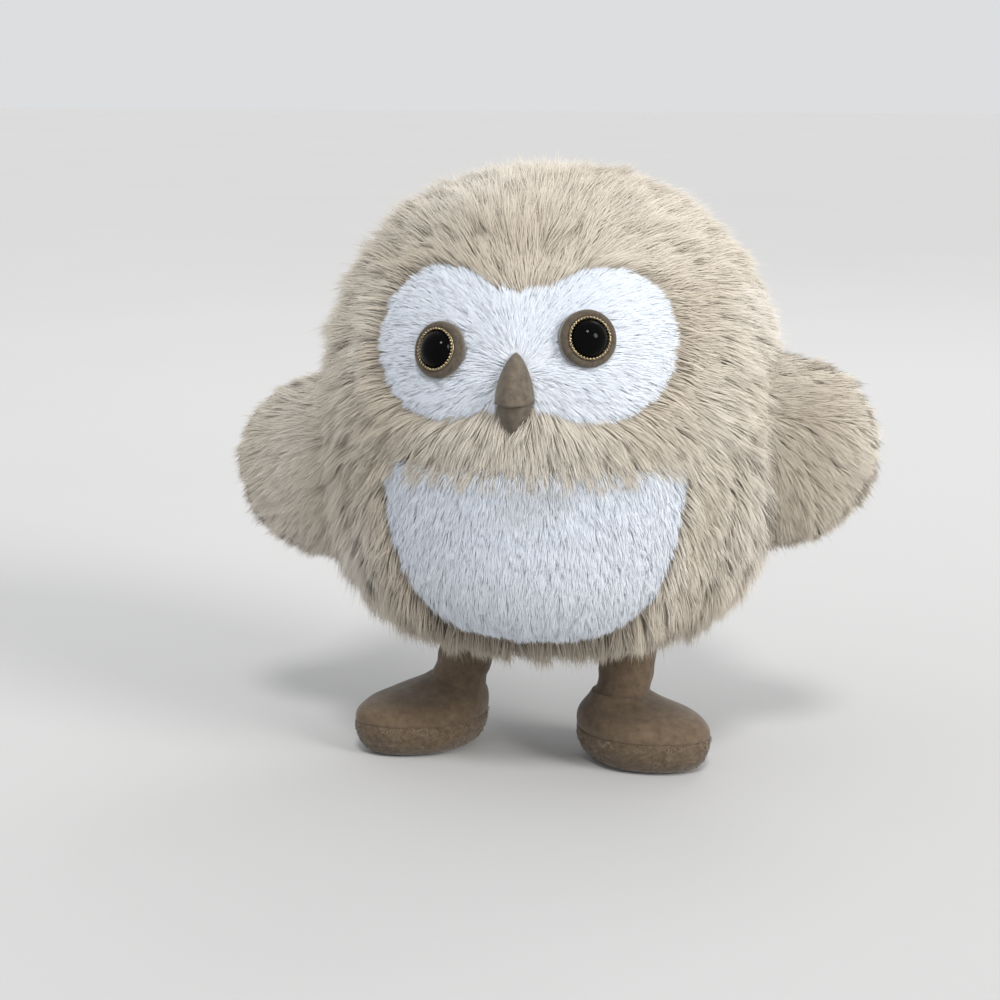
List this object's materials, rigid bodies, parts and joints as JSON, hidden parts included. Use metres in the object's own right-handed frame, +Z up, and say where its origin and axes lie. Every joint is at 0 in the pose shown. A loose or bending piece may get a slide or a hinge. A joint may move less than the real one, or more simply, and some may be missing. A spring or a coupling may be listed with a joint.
{
  "type": "interactive plush owl",
  "caption": "Round fluffy plush owl with a white face and belly, motor-driven flapping wings, swinging legs and padded feet.",
  "frame": {"origin": "on the resting surface, under the middle of the whole toy's box", "axes": "-Y is the way the face looks, +X is the viewer's right when facing it, +Z is up"},
  "size_m": [0.29, 0.212, 0.272],
  "materials": {
    "long_fur": "matte",
    "white_pile": "matte",
    "beak_suede": "matte",
    "brown_velvet": "satin",
    "eye_suede": "matte",
    "gold_beads": "gloss",
    "black_dome": "gloss",
    "stuffing": "matte",
    "inner_cloth": "matte",
    "case_plastic": "matte",
    "drive_plastic": "satin",
    "steel": "satin",
    "board_green": "satin",
    "cell_wrap": "gloss",
    "chip_black": "matte",
    "lead_red": "matte",
    "paper_cone": "matte",
    "pellets": "matte",
    "button_plastic": "satin"
  },
  "bodies": {
    "torso": {"fur_coat": "long_fur", "face_mask": "white_pile", "belly_panel": "white_pile", "body_stuffing": "stuffing", "beak_upper": "beak_suede", "beak_lower": "beak_suede", "eye_dome_left": "black_dome", "eye_dome_right": "black_dome", "eye_gold_ring_left": "gold_beads", "eye_gold_ring_right": "gold_beads", "eye_suede_ring_left": "eye_suede", "eye_suede_ring_right": "eye_suede", "eye_lock_washers": "drive_plastic", "housing_front": "case_plastic", "housing_rear": "case_plastic", "housing_screws": "steel", "wing_pivot_pins": "steel", "button_switch": "board_green", "gear_motor": "steel", "circuit_board": "board_green", "board_parts": "chip_black", "speaker_basket": "steel", "speaker_magnet": "steel", "speaker_cone": "paper_cone", "battery_case": "case_plastic", "battery_cells": "cell_wrap", "battery_springs": "steel", "battery_plates": "steel", "battery_door": "case_plastic", "battery_door_screw": "steel", "power_switch": "case_plastic", "head_touch_pad": "inner_cloth", "touch_pad_lead": "lead_red", "zip_tape_left": "inner_cloth", "zip_tape_right": "inner_cloth", "zip_teeth": "drive_plastic"},
    "wing_right_body": {"wing_lever_right": "drive_plastic", "wing_fur_right": "long_fur", "wing_padding_right": "stuffing"},
    "wing_left_body": {"wing_lever_left": "drive_plastic", "wing_fur_left": "long_fur", "wing_padding_left": "stuffing"},
    "rack_body": {"drive_rack": "drive_plastic"},
    "pinion_body": {"motor_pinion": "drive_plastic"},
    "button_body": {"press_button": "button_plastic"},
    "knob_body": {"power_switch_knob": "drive_plastic"},
    "zip_body": {"zip_slider": "steel"},
    "leg_left_body": {"leg_velvet_left": "brown_velvet", "leg_stuffing_left": "stuffing"},
    "foot_left_body": {"foot_upper_left": "brown_velvet", "foot_sole_left": "brown_velvet", "foot_pellet_bag_left": "pellets", "foot_stuffing_left": "stuffing"},
    "leg_right_body": {"leg_velvet_right": "brown_velvet", "leg_stuffing_right": "stuffing"},
    "foot_right_body": {"foot_upper_right": "brown_velvet", "foot_sole_right": "brown_velvet", "foot_pellet_bag_right": "pellets", "foot_stuffing_right": "stuffing"}
  },
  "joints": [
    {"name": "wing_right_flap", "type": "hinge", "parent": "torso", "child": "wing_right_body", "pos_m": [0.044, -0.00796, 0.156], "axis": [0, -1, 0], "range_deg": [-18, 18]},
    {"name": "wing_left_flap", "type": "hinge", "parent": "torso", "child": "wing_left_body", "pos_m": [-0.044, -0.00796, 0.156], "axis": [0, 1, 0], "range_deg": [-18, 18]},
    {"name": "rack_slide", "type": "slide", "parent": "torso", "child": "rack_body", "axis": [0, 0, 1], "range_m": [-0.0095, 0.0095]},
    {"name": "pinion_spin", "type": "hinge", "parent": "torso", "child": "pinion_body", "pos_m": [0.022, -0.00796, 0.12458], "axis": [0, 1, 0], "range_deg": [-68, 68]},
    {"name": "belly_button_press", "type": "slide", "parent": "torso", "child": "button_body", "axis": [0, 1, 0], "range_m": [0, 0.002], "stiffness_N_per_m": 800},
    {"name": "power_switch_slide", "type": "slide", "parent": "torso", "child": "knob_body", "axis": [1, 0, 0], "range_m": [0, 0.005]},
    {"name": "zip_slide", "type": "slide", "parent": "torso", "child": "zip_body", "axis": [0, -1, 0], "range_m": [0, 0.045]},
    {"name": "hip_left", "type": "hinge", "parent": "torso", "child": "leg_left_body", "pos_m": [-0.037, 0.00604, 0.056], "axis": [-1, 0, 0], "range_deg": [-20, 30]},
    {"name": "ankle_left", "type": "hinge", "parent": "leg_left_body", "child": "foot_left_body", "pos_m": [-0.047, 0.01304, 0.022], "axis": [-0.6157, 0.788, 0], "range_deg": [-12, 12]},
    {"name": "hip_right", "type": "hinge", "parent": "torso", "child": "leg_right_body", "pos_m": [0.037, 0.00604, 0.056], "axis": [-1, 0, 0], "range_deg": [-20, 30]},
    {"name": "ankle_right", "type": "hinge", "parent": "leg_right_body", "child": "foot_right_body", "pos_m": [0.033, 0.00004, 0.022], "axis": [-0.3746, -0.9272, 0], "range_deg": [-12, 12]}
  ],
  "couplings": [
    {"joint": "wing_left_flap", "follows": "wing_right_flap", "ratio": 1},
    {"joint": "rack_slide", "follows": "wing_right_flap", "m_per_rad": -0.03},
    {"joint": "pinion_spin", "follows": "wing_right_flap", "ratio": -3.75}
  ]
}
